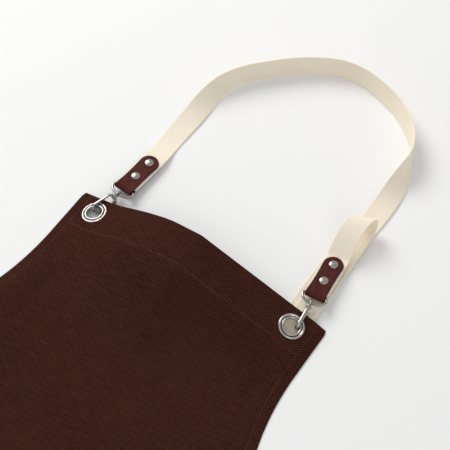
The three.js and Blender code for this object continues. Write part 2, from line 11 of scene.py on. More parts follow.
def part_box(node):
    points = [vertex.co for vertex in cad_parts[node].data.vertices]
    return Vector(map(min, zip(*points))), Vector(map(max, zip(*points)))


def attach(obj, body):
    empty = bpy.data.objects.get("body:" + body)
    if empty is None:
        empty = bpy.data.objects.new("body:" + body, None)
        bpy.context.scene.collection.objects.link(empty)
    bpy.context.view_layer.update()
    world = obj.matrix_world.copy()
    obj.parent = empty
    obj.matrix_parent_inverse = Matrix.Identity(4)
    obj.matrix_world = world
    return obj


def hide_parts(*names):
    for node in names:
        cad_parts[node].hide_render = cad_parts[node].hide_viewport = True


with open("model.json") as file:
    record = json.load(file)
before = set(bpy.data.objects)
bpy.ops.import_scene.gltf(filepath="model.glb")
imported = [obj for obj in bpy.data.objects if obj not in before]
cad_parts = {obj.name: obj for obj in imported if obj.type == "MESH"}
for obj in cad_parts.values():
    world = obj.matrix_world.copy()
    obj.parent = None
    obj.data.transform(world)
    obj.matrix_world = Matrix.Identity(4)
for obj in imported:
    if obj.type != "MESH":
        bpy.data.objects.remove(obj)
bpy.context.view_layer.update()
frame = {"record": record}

MM = 0.001

# ---- driving sizes, in millimetres, as the apron is made ----
TOP_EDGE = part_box("apron_panel")[1][1] / MM  # the bib's top edge is this far up the frame's Y
PANEL_LENGTH = 850.0
HIP_HALF = 350.0
BIB_HALF = 154.0
CORNER_TAPER = 1.5  # each side draws in this much over the last 5 mm to its top corner
CANVAS = 1.2
HEM_DEPTH = 45.0
ARMHOLE_START = 60.0
ARMHOLE_DEPTH = 300.0
CREST = 48.0
TENT_END = 150.0
EDGE_BAND = 16.0
NOSE_X = {"left": 129.8, "right": 128.1}  # how far each hook's nose lies from the middle
SEAM_INSET = 10.25
HEM_SEAM = 42.25
BOTTOM_SEAM = 13
SHOULDER = 111.0

WEBBING_WIDTH = 25.0
WEBBING = 1.5
GAP = 0.3

EYELET_HOLE = 8.4
EYELET_FLANGE = 14.0
EYELET_LIP = 10.6
EYELETS = {"left": (-126.0, 19.5), "right": (123.5, 20.5)}  # each centre's X and depth below the top edge

LEATHER = 1.5
TAB_WIDTH = 22.0
TAB_WAIST = 0.6
TAB_LENGTH = 52.7
RIVETS = {"lower": 19.5, "upper": 42.5}
RIVET_CAP = 5.0

RING_WIRE = 1.4
RING_HALF = 13.1
RING_DEPTH = 10.0

EYE_BORE = 2.0
EYE_WIRE = 1.0
POST = 1.5
COLLAR_START = 3.8
COLLAR_LENGTH = 3.0
COLLAR_OUTER = 3.3
HOOK_WIRE = 1.5
HOOK_BREADTH = 1.35  # the casting is this much broader than it is thick
SPINE = 4.8
GATE = 5.4
NOSE = 32.1
GATE_PIVOT = 10.2
PIN = 0.6

CANVAS_THREAD = 1.7  # pitch of the canvas's warp and weft
STITCH = 3.4  # from one stitch to the next
THREAD = 0.55
PER_SPAN = 10  # steps between two stations of a strap
SEWN_STEPS = 8  # the last steps of a strap, which are sewn down

UP = Vector((0, 0, 1))
SIDES = {"left": -1, "right": 1}
REST = {"left": 0.9, "right": 2 * WEBBING + 2 * GAP}  # what each hook lies clear of
ROLL = {"left": 35, "right": 14}

KEY_POWER = 66.0
FILL_POWER = 7.0
ROOM_LIGHT = 0.53

random.seed(7)


def clamp(value, low=0.0, high=1.0):
    return max(low, min(high, value))


def smooth(low, high, value):
    t = clamp((value - low) / (high - low))
    return t * t * (3 - 2 * t)


def lerp(a, b, t):
    return a + (b - a) * t


def linked(name, data):
    made = bpy.data.objects.new(name, data)
    bpy.context.collection.objects.link(made)
    return made


# ======== camera and light ========
def place_camera():
    """The three-quarter view from above the bib's lower right."""
    turn, rise, distance = math.radians(34), math.radians(56.9), 1.5
    target = Vector((-0.0048, TOP_EDGE * MM + 0.05, 0))
    back = Vector((math.sin(turn) * math.cos(rise), -math.cos(turn) * math.cos(rise), math.sin(rise)))
    data = bpy.data.cameras.new("camera")
    data.sensor_width = 36
    data.lens = 112.4
    camera = linked("camera", data)
    camera.location = target + distance * back
    camera.rotation_euler = back.to_track_quat("Z", "Y").to_euler()
    bpy.context.scene.camera = camera


def area_light(name, location, target, size, power, colour=(1, 1, 1)):
    data = bpy.data.lights.new(name, "AREA")
    data.shape = "DISK"
    data.size = size
    data.energy = power
    data.color = colour
    light = linked(name, data)
    light.location = location
    light.rotation_euler = (Vector(location) - Vector(target)).to_track_quat("Z", "Y").to_euler()


def light_studio():
    middle = (0, TOP_EDGE * MM, 0)
    area_light("key", (-2.3, 1.3, 2.0), middle, 2.0, KEY_POWER, (1.0, 0.995, 0.98))
    area_light("fill", (1.6, -1.0, 1.7), middle, 1.6, FILL_POWER, (0.97, 0.985, 1.0))
    bpy.context.scene.view_settings.view_transform = "Standard"
    world = bpy.data.worlds.new("studio")
    world.use_nodes = True
    world.node_tree.nodes["Background"].inputs["Color"].default_value = (1.0, 1.0, 1.0, 1)
    world.node_tree.nodes["Background"].inputs["Strength"].default_value = ROOM_LIGHT
    bpy.context.scene.world = world


# ======== materials ========
class Shader:
    """A material's node tree with short ways to add and link nodes."""

    def __init__(self, name, colour, roughness, metallic=0.0, **sockets):
        self.material = bpy.data.materials.new(name)
        self.material.use_nodes = True
        self.tree = self.material.node_tree
        self.surface = self.tree.nodes["Principled BSDF"]
        self.material.diffuse_color = (*colour, 1)
        self.finish({"Base Color": (*colour, 1), "Roughness": roughness, "Metallic": metallic})
        self.finish({key.replace("_", " "): value for key, value in sockets.items()})

    def set(self, node, values):
        for key, value in values.items():
            if isinstance(value, bpy.types.NodeSocket):
                self.tree.links.new(value, node.inputs[key])
            else:
                node.inputs[key].default_value = value

    def finish(self, values):
        self.set(self.surface, values)

    def node(self, kind, values=None, **settings):
        made = self.tree.nodes.new(kind)
        for key, value in settings.items():
            setattr(made, key, value)
        self.set(made, values or {})
        return made

    def attribute(self, name):
        """The three numbers of a mesh attribute, as a vector and as its parts."""
        vector = self.node("ShaderNodeAttribute", attribute_name=name).outputs["Vector"]
        parts = self.node("ShaderNodeSeparateXYZ", {"Vector": vector}).outputs
        return vector, parts["X"], parts["Y"], parts["Z"]

    def maths(self, operation, *values):
        return self.node("ShaderNodeMath", dict(enumerate(values)), operation=operation).outputs[0]

    def ramp(self, value, low, high, to_low=0.0, to_high=1.0):
        inputs = {"Value": value, "From Min": low, "From Max": high, "To Min": to_low, "To Max": to_high}
        return self.node("ShaderNodeMapRange", inputs, clamp=True).outputs["Result"]

    def noise(self, vector, scale, detail=3.0):
        inputs = {"Vector": vector, "Scale": scale, "Detail": detail, "Roughness": 0.55}
        return self.node("ShaderNodeTexNoise", inputs).outputs["Fac"]

    def stretched(self, vector, factors):
        return self.node("ShaderNodeMapping", {"Vector": vector, "Scale": factors}).outputs["Vector"]

    def mix(self, factor, a, b):
        made = self.node("ShaderNodeMix", data_type="RGBA")
        made.clamp_factor = True
        for key, value in ((0, factor), (6, a), (7, b)):
            if isinstance(value, bpy.types.NodeSocket):
                self.tree.links.new(value, made.inputs[key])
            else:
                made.inputs[key].default_value = value
        return made.outputs[2]

    def tint(self, colour, value, low, high, share, to):
        """The colour moved towards another by up to a share, as the value goes from low to high."""
        return self.mix(self.ramp(value, low, high, 0.0, share), colour, (*to, 1))

    def plus(self, a, b, factor=1.0):
        return self.maths("ADD", a, self.maths("MULTIPLY", b, factor))

    def bump(self, height, distance, strength=1.0):
        inputs = {"Height": height, "Distance": distance, "Strength": strength}
        self.set(self.surface, {"Normal": self.node("ShaderNodeBump", inputs).outputs["Normal"]})

    def crossing(self, across, along, pitch_across, pitch_along):
        """A plain weave's warp and weft waves, and their product: above zero where the warp lies on top."""
        warp = self.maths("SINE", self.maths("MULTIPLY", across, math.pi / pitch_across))
        weft = self.maths("SINE", self.maths("MULTIPLY", along, math.pi / pitch_along))
        return warp, weft, self.maths("MULTIPLY", warp, weft)

    def woven(self, across, along, pitch_across, pitch_along):
        """Height of a plain weave: warp and weft threads that pass over and under each other."""
        warp, weft, product = self.crossing(across, along, pitch_across, pitch_along)
        over = self.ramp(product, -0.25, 0.25)
        under = self.maths("SUBTRACT", 1.0, over)
        warp_height = self.maths("MULTIPLY", self.maths("ABSOLUTE", warp), over)
        weft_height = self.maths("MULTIPLY", self.maths("ABSOLUTE", weft), under)
        return self.maths("ADD", warp_height, weft_height)


def canvas_material():
    made = Shader("canvas", (0.046, 0.0145, 0.0095), 0.9, Specular_IOR_Level=0.02)
    vector, across, along, _ = made.attribute("cloth")
    wobble = made.noise(made.stretched(vector, (0.04, 0.04, 0)), 4.0)
    across = made.plus(across, wobble, 0.9)
    along = made.plus(along, wobble, 0.9)
    weave = made.woven(across, along, CANVAS_THREAD, CANVAS_THREAD)
    _, _, checker = made.crossing(across, along, CANVAS_THREAD, CANVAS_THREAD)
    slub = made.noise(made.stretched(vector, (0.06, 0.45, 0)), 1.0, 2.0)
    fading = made.noise(vector, 0.012, 4.0)
    fuzz = made.noise(vector, 1.1, 3.0)
    # Painted shade: the threads are one colour, but this colour is lighter where the warp lies on top and darker
    # where the weft does and in the weave's low places.
    thread = made.ramp(made.maths("ADD", made.maths("MULTIPLY", weave, 0.3), checker), -0.3, 1.0)
    colour = made.mix(thread, (0.018, 0.0052, 0.0033, 1), (0.086, 0.0285, 0.0195, 1))
    colour = made.tint(colour, slub, 0.42, 0.66, 0.3, (0.096, 0.034, 0.024))
    colour = made.tint(colour, fuzz, 0.45, 0.7, 0.4, (0.02, 0.006, 0.004))
    colour = made.tint(colour, fading, 0.35, 0.7, 0.15, (0.085, 0.034, 0.024))
    made.finish({"Base Color": colour, "Roughness": made.ramp(fuzz, 0.3, 0.7, 0.82, 0.95)})
    made.bump(made.plus(weave, fuzz, 0.4), 0.0004, 0.8)
    return made.material


def webbing_material():
    made = Shader("webbing", (0.84, 0.74, 0.60), 0.85, Specular_IOR_Level=0.12)
    vector, across, along, _ = made.attribute("cloth")
    weave = made.woven(across, along, 1.1, 1.6)
    slub = made.noise(made.stretched(vector, (1.4, 0.10, 0)), 1.0, 2.0)
    fibre = made.noise(vector, 1.3, 3.0)
    soiling = made.noise(vector, 0.03, 4.0)
    # Painted shade: the tape is darker in the weave's low places and lighter on its raised threads.
    colour = made.mix(made.ramp(weave, 0.05, 0.8), (0.90, 0.765, 0.575, 1), (1.0, 0.915, 0.765, 1))
    colour = made.tint(colour, slub, 0.42, 0.7, 0.6, (1.0, 0.94, 0.83))
    colour = made.tint(colour, fibre, 0.5, 0.72, 0.5, (0.86, 0.71, 0.52))
    colour = made.tint(colour, soiling, 0.45, 0.75, 0.25, (0.93, 0.80, 0.62))
    made.finish({"Base Color": colour})
    made.bump(made.plus(weave, fibre, 0.5), 0.00018, 0.6)
    return made.material


def thread_material(name, colour, pale):
    made = Shader(name, colour, 0.6)
    vector, _, _, _ = made.attribute("cloth")
    ply = made.noise(vector, 2.4, 2.0)
    made.finish({"Base Color": made.mix(made.ramp(ply, 0.3, 0.7), (*colour, 1), (*pale, 1))})
    made.bump(ply, 0.0001, 0.8)
    return made.material


def leather_material():
    made = Shader("leather", (0.085, 0.014, 0.011), 0.45, Specular_IOR_Level=0.14, Coat_Weight=0.02)
    made.finish({"Coat Roughness": 0.3})
    vector, _, _, edge = made.attribute("hide")
    pores = made.node("ShaderNodeTexVoronoi", {"Vector": vector, "Scale": 1.5}, feature="DISTANCE_TO_EDGE")
    grain = made.ramp(pores.outputs["Distance"], 0.0, 0.16)
    fine = made.noise(vector, 2.8, 4.0)
    cloud = made.noise(vector, 0.12, 4.0)
    colour = made.mix(made.ramp(cloud, 0.3, 0.7), (0.052, 0.0075, 0.006, 1), (0.115, 0.0185, 0.015, 1))
    colour = made.mix(made.ramp(grain, 0.0, 0.6, 0.35, 0.0), colour, (0.035, 0.006, 0.005, 1))
    colour = made.mix(made.ramp(edge, 0.15, 1.3, 0.85, 0.0), colour, (0.012, 0.003, 0.003, 1))
    made.finish({"Base Color": colour})
    made.finish({"Roughness": made.ramp(made.maths("ADD", fine, cloud), 0.7, 1.3, 0.36, 0.58)})
    made.bump(made.plus(grain, fine, 0.7), 0.00014, 0.8)
    return made.material


def nickel_material(name, colour, roughness):
    made = Shader(name, colour, roughness, 1.0)
    place = made.node("ShaderNodeTexCoord").outputs["Object"]
    wear = made.noise(place, 260.0, 5.0)
    rub = made.noise(made.stretched(place, (1, 1, 6)), 900.0, 2.0)
    dark = tuple(0.62 * channel for channel in colour)
    worn = made.mix(made.ramp(wear, 0.42, 0.72, 0.0, 0.6), (*colour, 1), (*dark, 1))
    # Painted shade: the point attribute read here darkens the eyelet's groove to near black, where shade falls in the
    # groove.
    _, groove_shade, _, _ = made.attribute("groove_shade")
    made.finish({"Base Color": made.mix(groove_shade, worn, (0.035, 0.032, 0.028, 1))})
    rough = made.maths("ADD", made.ramp(wear, 0.35, 0.7, 0.0, 0.16), made.ramp(rub, 0.4, 0.8, 0.0, 0.08))
    made.finish({"Roughness": made.maths("ADD", rough, roughness)})
    made.bump(made.plus(wear, rub, 0.3), 0.00004, 0.35)
    return made.material


def floor_material():
    made = Shader("floor", (0.93, 0.93, 0.93), 0.85, Specular_IOR_Level=0.1)
    return made.material


MATERIALS = {
    "canvas": canvas_material(),
    "webbing": webbing_material(),
    "leather": leather_material(),
    "nickel": nickel_material("nickel", (0.46, 0.435, 0.40), 0.14),
    "eyelet": nickel_material("eyelet", (0.60, 0.57, 0.53), 0.17),
    "brown_thread": thread_material("brown_thread", (0.055, 0.019, 0.0125), (0.12, 0.046, 0.032)),
    "cream_thread": thread_material("cream_thread", (0.70, 0.60, 0.44), (0.86, 0.80, 0.66)),
}


# ======== meshes ========
def circle(count):
    """The cosine and sine of equal steps round a full turn."""
    angles = [2 * math.pi * i / count for i in range(count)]
    return [(math.cos(angle), math.sin(angle)) for angle in angles]


class Shell:
    """Points and faces in millimetres, with an optional attribute of three numbers for each point."""

    def __init__(self):
        self.points = []
        self.faces = []
        self.marks = []

    def point(self, position, mark=(0.0, 0.0, 0.0)):
        self.points.append(Vector(position))
        self.marks.append(mark)
        return len(self.points) - 1

    def loft(self, rings, closed=False):
        """Quads between rings of points that are already in the shell."""
        spans = len(rings) if closed else len(rings) - 1
        for i in range(spans):
            a, b = rings[i], rings[(i + 1) % len(rings)]
            for k in range(len(a)):
                n = (k + 1) % len(a)
                self.faces.append((a[k], a[n], b[n], b[k]))
        if not closed:
            self.faces.append(tuple(reversed(rings[0])))
            self.faces.append(tuple(rings[-1]))
        return self

    def merge(self, other):
        start = len(self.points)
        self.points += other.points
        self.marks += other.marks
        self.faces += [tuple(start + i for i in face) for face in other.faces]
        return self

    def moved(self, matrix):
        self.points = [matrix @ p for p in self.points]
        return self

    def mesh(self, name, attribute=None):
        made = bpy.data.meshes.new(name)
        made.from_pydata([p * MM for p in self.points], [], self.faces)
        if attribute:
            layer = made.attributes.new(attribute, "FLOAT_VECTOR", "POINT")
            layer.data.foreach_set("vector", [v for mark in self.marks for v in mark])
        made.validate()
        made.update()
        return made


def outward(mesh):
    """Turns the faces of closed shells to point out."""
    work = bmesh.new()
    work.from_mesh(mesh)
    bmesh.ops.recalc_face_normals(work, faces=work.faces)
    work.to_mesh(mesh)
    work.free()


def add_piece(name, mesh, material, body, replaced=()):
    outward(mesh)
    mesh.materials.append(MATERIALS[material])
    for polygon in mesh.polygons:
        polygon.use_smooth = True
    piece = linked(name, mesh)
    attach(piece, body)
    if replaced:
        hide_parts(*replaced)
    return piece


def turned(profile, sides):
    """A body of revolution about Z from a closed profile of (radius, height)."""
    shell = Shell()
    rings = [[shell.point((r * c, r * s, z)) for r, z in profile] for c, s in circle(sides)]
    return shell.loft(rings, closed=True)


def rounded(profile, cut=0.35, steps=3):
    """A closed profile with each corner rounded off by quadratic arcs."""
    result = []
    count = len(profile)
    for i in range(count):
        here = Vector(profile[i])
        before = Vector(profile[i - 1])
        after = Vector(profile[(i + 1) % count])
        reach_in = min(cut, 0.45 * (before - here).length)
        reach_out = min(cut, 0.45 * (after - here).length)
        start = here + (before - here).normalized() * reach_in
        end = here + (after - here).normalized() * reach_out
        for k in range(steps + 1):
            t = k / steps
            result.append((1 - t) ** 2 * start + 2 * t * (1 - t) * here + t * t * end)
    return [tuple(p) for p in result]


def rod(radius, x0, x1, sides=40, chamfer=0.3):
    """A round bar along X with rounded ends."""
    profile = [(0, x0), (radius - chamfer, x0), (radius - 0.3 * chamfer, x0 + 0.3 * chamfer), (radius, x0 + chamfer),
               (radius, x1 - chamfer), (radius - 0.3 * chamfer, x1 - 0.3 * chamfer), (radius - chamfer, x1), (0, x1)]
    shell = Shell()
    rings = [[shell.point((x, max(r, 0.01) * c, max(r, 0.01) * s)) for c, s in circle(sides)] for r, x in profile]
    return shell.loft(rings)


def catmull(points, t):
    """A point on the centripetal Catmull-Rom curve through the points, for t from 0 to 1."""
    place = (len(points) - 1) * t
    i = min(int(place), len(points) - 2)
    weight = place - i
    p1, p2 = points[i], points[i + 1]
    p0 = points[i - 1] if i > 0 else 2 * p1 - p2
    p3 = points[i + 2] if i + 2 < len(points) else 2 * p2 - p1
    d1 = (p2 - p1).length ** 0.5 or 1.0
    d0 = (p1 - p0).length ** 0.5 or d1
    d2 = (p3 - p2).length ** 0.5 or d1
    t1 = ((p1 - p0) / d0 - (p2 - p0) / (d0 + d1) + (p2 - p1) / d1) * d1
    t2 = ((p2 - p1) / d1 - (p3 - p1) / (d1 + d2) + (p3 - p2) / d2) * d1
    c2 = -3 * p1 + 3 * p2 - 2 * t1 - t2
    c3 = 2 * p1 - 2 * p2 + t1 + t2
    return p1 + t1 * weight + c2 * weight ** 2 + c3 * weight ** 3


def wire(points, radius, steps, sides=20, closed=False):
    """A round wire through the points."""
    points = [Vector(p) for p in points]
    path = [catmull(points, i / steps) for i in range(steps + 1)]
    if closed:
        path = path[:-1]
    shell = Shell()
    rings = []
    normal = None
    for i, centre in enumerate(path):
        ahead = path[(i + 1) % len(path)] if closed or i + 1 < len(path) else centre
        behind = path[i - 1] if closed or i > 0 else centre
        tangent = (ahead - behind).normalized()
        if normal is None:
            normal = tangent.orthogonal().normalized()
        normal = (normal - tangent * normal.dot(tangent)).normalized()
        side = tangent.cross(normal)
        rings.append([shell.point(centre + normal * (radius * c) + side * (radius * s)) for c, s in circle(sides)])
    return shell.loft(rings, closed=closed)


def slab(outline, z0, z1):
    """A flat plate in XY between two heights."""
    shell = Shell()
    low = [shell.point((x, y, z0)) for x, y in outline]
    high = [shell.point((x, y, z1)) for x, y in outline]
    return shell.loft([low, high])


def capsule(x0, x1, y, radius):
    outline = []
    steps = 12
    for centre, start in ((x1, -math.pi / 2), (x0, math.pi / 2)):
        for i in range(steps + 1):
            angle = start + math.pi * i / steps
            outline.append((centre + radius * math.cos(angle), y + radius * math.sin(angle)))
    return outline


def cast(name, shell, holes, voxel, passes):
    """One casting: the shells fused, the holes cut, and every corner softened, as polished metal is."""
    made = bpy.data.meshes.new(name)
    made.from_pydata([tuple(p) for p in shell.points], [], shell.faces)
    outward(made)
    work = linked(name + "_work", made)
    fuse = work.modifiers.new("fuse", "REMESH")
    fuse.mode = "VOXEL"
    fuse.voxel_size = voxel
    cutters = []
    for i, hole in enumerate(holes):
        drill = bpy.data.meshes.new(f"{name}_hole_{i}")
        drill.from_pydata([tuple(p) for p in hole.points], [], hole.faces)
        outward(drill)
        cutter = linked(f"{name}_hole_{i}", drill)
        cut = work.modifiers.new("cut", "BOOLEAN")
        cut.operation = "DIFFERENCE"
        cut.solver = "EXACT"
        cut.object = cutter
        cutters.append(cutter)
    if holes:
        again = work.modifiers.new("again", "REMESH")
        again.mode = "VOXEL"
        again.voxel_size = voxel
    soften = work.modifiers.new("soften", "SMOOTH")
    soften.factor = 0.5
    soften.iterations = passes
    bpy.context.view_layer.update()
    result = bpy.data.meshes.new_from_object(work.evaluated_get(bpy.context.evaluated_depsgraph_get()))
    result.name = name
    for leftover in [work, *cutters]:
        bpy.data.objects.remove(leftover)
    return result


def settled(mesh, matrix):
    """A mesh made in millimetres about its own pivot, moved to its place in the frame."""
    mesh.transform(Matrix.Scale(MM, 4) @ matrix)
    return mesh


# ======== where things are ========
JOINTS = {joint["name"]: joint for joint in frame["record"]["behaviour"]["joints"]}


def basis(origin, x, y, z):
    made = Matrix((x, y, z)).transposed().to_4x4()
    made.translation = origin
    return made


def joint_place(name):
    return Vector(JOINTS[name]["pos_m"]) / MM, Vector(JOINTS[name]["axis"]).normalized()


def pivots(side):
    """The places and directions of one clip's pieces, in millimetres."""
    bar, lift = joint_place("d_ring_tilt_" + side)
    bow, _ = joint_place("eye_on_ring_" + side)
    _, along = joint_place("hook_swivel_" + side)
    pivot, swing = joint_place("hook_gate_spring_" + side)
    across = -lift
    up_ring = (bar - bow).normalized()
    ring = basis(bar, across, up_ring, across.cross(up_ring))
    upright = along.cross(UP.cross(along).normalized())
    spine = swing.cross(along)
    tab_end = REST[side] + 0.8 + LEATHER + WEBBING / 2 + 1.1
    pitch = math.asin((tab_end - bar.z) / TAB_LENGTH)
    level = UP.cross(across)
    up_tab = level * math.cos(pitch) + UP * math.sin(pitch)
    return {
        "ring": ring,
        "eye": basis(bow, along, upright, along.cross(upright)),
        "hook": basis(bow, along, spine, swing),
        "gate": basis(pivot, along, spine, swing),
        "tab": basis(bar, across, up_tab, across.cross(up_tab)),
    }


PIVOTS = {side: pivots(side) for side in SIDES}
UP_THE_BIB = Matrix.Translation((0, TOP_EDGE, 0))  # from the bib's top edge to the frame's origin


# ======== canvas panel ========
def nose_height(side):
    return REST[side] + (GATE + 1.3) * math.cos(math.radians(ROLL[side])) + 0.35


LEFT_SLOPE = (nose_height("left") - CANVAS / 2) / (BIB_HALF - NOSE_X["left"])
RIGHT_SLOPE = (CREST - nose_height("right") + CANVAS / 2) / NOSE_X["right"]
STRAP_ROOM = 2 * WEBBING + GAP + 0.9

TENT_LINE = [
    (-BIB_HALF, 0), (-SHOULDER, LEFT_SLOPE * (BIB_HALF - SHOULDER)), (-78, 28), (-58, 37), (-37, 44.5),
    (0, CREST), (BIB_HALF - EDGE_BAND, CREST - RIGHT_SLOPE * (BIB_HALF - EDGE_BAND)), (BIB_HALF, 0),
]


def tent_line(x):
    for (x0, z0), (x1, z1) in zip(TENT_LINE, TENT_LINE[1:]):
        if x <= x1:
            return lerp(z0, z1, clamp((x - x0) / (x1 - x0)))
    return 0.0


def tent_height(x):
    """The tented profile, with its bends eased: tightly at the crease, loosely on the round shoulder."""
    reach = 2.0 if x > -12 else lerp(2.0, 9.0, smooth(-12, -40, x)) * smooth(-BIB_HALF + 10, -100, x)
    reach = max(reach, 0.6)
    places = (-1, -0.5, 0, 0.5, 1)
    return sum(0.2 * tent_line(clamp(x + k * reach, -BIB_HALF, BIB_HALF)) for k in places)


def armhole_point(t):
    hip = HIP_HALF - BIB_HALF
    xs = (BIB_HALF, BIB_HALF, BIB_HALF + 0.36 * hip, HIP_HALF)
    ys = (ARMHOLE_START, ARMHOLE_DEPTH - 110, ARMHOLE_DEPTH - 8, ARMHOLE_DEPTH)
    blend = ((1 - t) ** 3, 3 * t * (1 - t) ** 2, 3 * t * t * (1 - t), t ** 3)
    return sum(b * x for b, x in zip(blend, xs)), sum(b * y for b, y in zip(blend, ys))


ARMHOLE = [armhole_point(i / 200) for i in range(201)]


def half_width(depth):
    if depth <= ARMHOLE_START:
        return BIB_HALF - CORNER_TAPER * clamp(1 - depth / 5)
    if depth >= ARMHOLE_DEPTH:
        return HIP_HALF
    for (x0, y0), (x1, y1) in zip(ARMHOLE, ARMHOLE[1:]):
        if depth <= y1:
            return lerp(x0, x1, (depth - y0) / (y1 - y0))
    return HIP_HALF


def ripple(x, depth):
    """The cloth's own slight unevenness, which leaves the band at the eyelets alone."""
    loose = smooth(HEM_DEPTH, 130, depth)
    waves = math.sin(x / 47 + depth / 90) * math.sin(depth / 61 - x / 140) + 0.6 * math.sin(x / 23 - depth / 37)
    return 0.5 * loose * (waves + 1.0) * smooth(0, 40, PANEL_LENGTH - depth)


def middle_height(x, depth):
    """Height of the middle of the cloth's thickness."""
    width = half_width(depth)
    column = x * BIB_HALF / max(width, BIB_HALF)
    fall = clamp((depth - HEM_DEPTH) / (TENT_END - HEM_DEPTH))
    tent = tent_height(column) * (1 - fall) ** 1.35 if depth > HEM_DEPTH else tent_height(column)
    inward = width - abs(x)
    room = min(STRAP_ROOM, LEFT_SLOPE * inward) * (1 - smooth(410, 450, depth))
    low = min(1.0, inward / 30)
    return max(tent, room) + CANVAS / 2 + low * ripple(x, depth)


def inset_columns(inner):
    """Columns as (inset from the nearer side or None, fraction across the rest)."""
    insets = [0, 0.35, 0.9, 3, 6, 9, 9.9, 10.6, 11.5, 14]
    left = [(-1, inset, 0.0) for inset in insets]
    middle = [(0, 14.0, -1 + 2 * i / inner) for i in range(1, inner)]
    right = [(1, inset, 0.0) for inset in reversed(insets)]
    return left + middle + right


def panel_depths():
    near = [0, 0.35, 0.9, 3, 6, 9, 12, 14, 16, 18, 20, 22, 24, 26, 28, 30, 33, 36, 39, 41, 41.9, 42.6, 43.5, 45]
    bib = [45 + 3 * i for i in range(1, 52)]
    skirt = [198 + 5 * i for i in range(1, 127)]
    end = [832, 836, 837, 838, 843, 847, 849.1, 849.65, 850]
    return near + bib + [d for d in skirt if d < 830] + end


def eyelet_distance(x, depth):
    return min(math.hypot(x - across, depth - down) for across, down in EYELETS.values())


def panel_x(column, width):
    side, inset, fraction = column
    return side * (width - inset) if side else fraction * (width - inset)


def stitch_dip(inset, depth):
    """How far the seams pull the face down along each row of stitches."""
    rows = (abs(inset - SEAM_INSET), abs(depth - HEM_SEAM), abs(PANEL_LENGTH - depth - BOTTOM_SEAM))
    return 0.22 * max(clamp(1 - row / 1.6) for row in rows)


def build_panel():
    shell = Shell()
    columns = inset_columns(132)
    depths = panel_depths()
    top, bottom = [], []
    for depth in depths:
        width = half_width(depth)
        top_row, bottom_row = [], []
        for column in columns:
            x = panel_x(column, width)
            inset = width - abs(x)
            border = min(inset, depth, PANEL_LENGTH - depth)
            roundness = math.sqrt(clamp(1 - (1 - clamp(border / 0.9)) ** 2))
            hem = 1.0 if min(inset, PANEL_LENGTH - depth) < 12 or depth < HEM_DEPTH else 0.72
            z = middle_height(x, depth)
            mark = (x, depth, border)
            lift = hem * roundness * CANVAS / 2
            position = (x, TOP_EDGE - depth)
            upper = shell.point((*position, z + lift - stitch_dip(inset, depth) * roundness), mark)
            top_row.append(upper)
            rim = border == 0
            bottom_row.append(upper if rim else shell.point((*position, z - lift), mark))
        top.append(top_row)
        bottom.append(bottom_row)
    rows, count = len(depths) - 1, len(columns) - 1

    def kept(i, j):
        if not (0 <= i < rows and 0 <= j < count):
            return False
        corners = [shell.points[top[i + a][j + b]] for a in (0, 1) for b in (0, 1)]
        centre = sum(corners, Vector()) / 4
        return eyelet_distance(centre.x, TOP_EDGE - centre.y) > 11.0

    for i in range(rows):
        for j in range(count):
            if not kept(i, j):
                continue
            corner = ((i, j), (i, j + 1), (i + 1, j + 1), (i + 1, j))
            shell.faces.append(tuple(top[a][b] for a, b in reversed(corner)))
            shell.faces.append(tuple(bottom[a][b] for a, b in corner))
            beyond = ((i - 1, j), (i, j + 1), (i + 1, j), (i, j - 1))
            for k, cell in enumerate(beyond):
                inside = 0 <= cell[0] < rows and 0 <= cell[1] < count
                if inside and not kept(*cell):
                    (a, b), (c, d) = corner[k], corner[(k + 1) % 4]
                    shell.faces.append((top[a][b], top[c][d], bottom[c][d], bottom[a][b]))
    return shell


# ======== stitches ========
def stitch_shell(a, b, up, width=THREAD, height=0.32):
    """One stitch from a to b: a short thread that dives into the cloth at both ends."""
    shell = Shell()
    along = b - a
    side = along.normalized().cross(up).normalized()
    rings = []
    for t, scale in ((0.0, 0.35), (0.12, 0.8), (0.35, 1.0), (0.65, 1.0), (0.88, 0.8), (1.0, 0.35)):
        centre = a + along * t + up * (height * (scale - 0.55))
        ring = []
        for c, s in circle(7):
            offset = side * (c * width / 2 * scale) + up * (s * width / 2 * scale)
            ring.append(shell.point(centre + offset, tuple(centre)))
        rings.append(ring)
    return shell.loft(rings)


def run_of_stitches(path, surface):
    """Stitches along a path of (x, depth) points, lying on the surface."""
    shell = Shell()
    spans = [math.dist(a, b) for a, b in zip(path, path[1:])]
    total = sum(spans)
    count = int(total / STITCH)

    def place(distance):
        for (a, b), span in zip(zip(path, path[1:]), spans):
            if distance <= span:
                t = distance / span
                return lerp(a[0], b[0], t), lerp(a[1], b[1], t)
            distance -= span
        return path[-1]

    for i in range(count):
        start = place((i + 0.12) * total / count)
        end = place((i + 0.84) * total / count)
        if min(eyelet_distance(*start), eyelet_distance(*end)) < EYELET_FLANGE + 0.5:
            continue
        shell.merge(stitch_shell(surface(*start), surface(*end), UP))
    return shell


def panel_surface(x, depth):
    return Vector((x, TOP_EDGE - depth, middle_height(x, depth) + CANVAS / 2 - 0.12))


def build_hem_stitches():
    steps = [ARMHOLE_START + (ARMHOLE_DEPTH - ARMHOLE_START) * i / 120 for i in range(121)]
    shell = Shell()
    step = 2 * (BIB_HALF - SEAM_INSET) / 100
    across = [(-BIB_HALF + SEAM_INSET + i * step, HEM_SEAM) for i in range(101)]
    shell.merge(run_of_stitches(across, panel_surface))
    for side in (-1, 1):
        depths = [2.0, 20, 40] + steps + [400, 500, 600, 700, PANEL_LENGTH - BOTTOM_SEAM]
        edge = [(side * (half_width(d) - SEAM_INSET), d) for d in depths]
        shell.merge(run_of_stitches(edge, panel_surface))
    low, end = PANEL_LENGTH - BOTTOM_SEAM, HIP_HALF - SEAM_INSET
    shell.merge(run_of_stitches([(-end, low), (end, low)], panel_surface))
    return shell


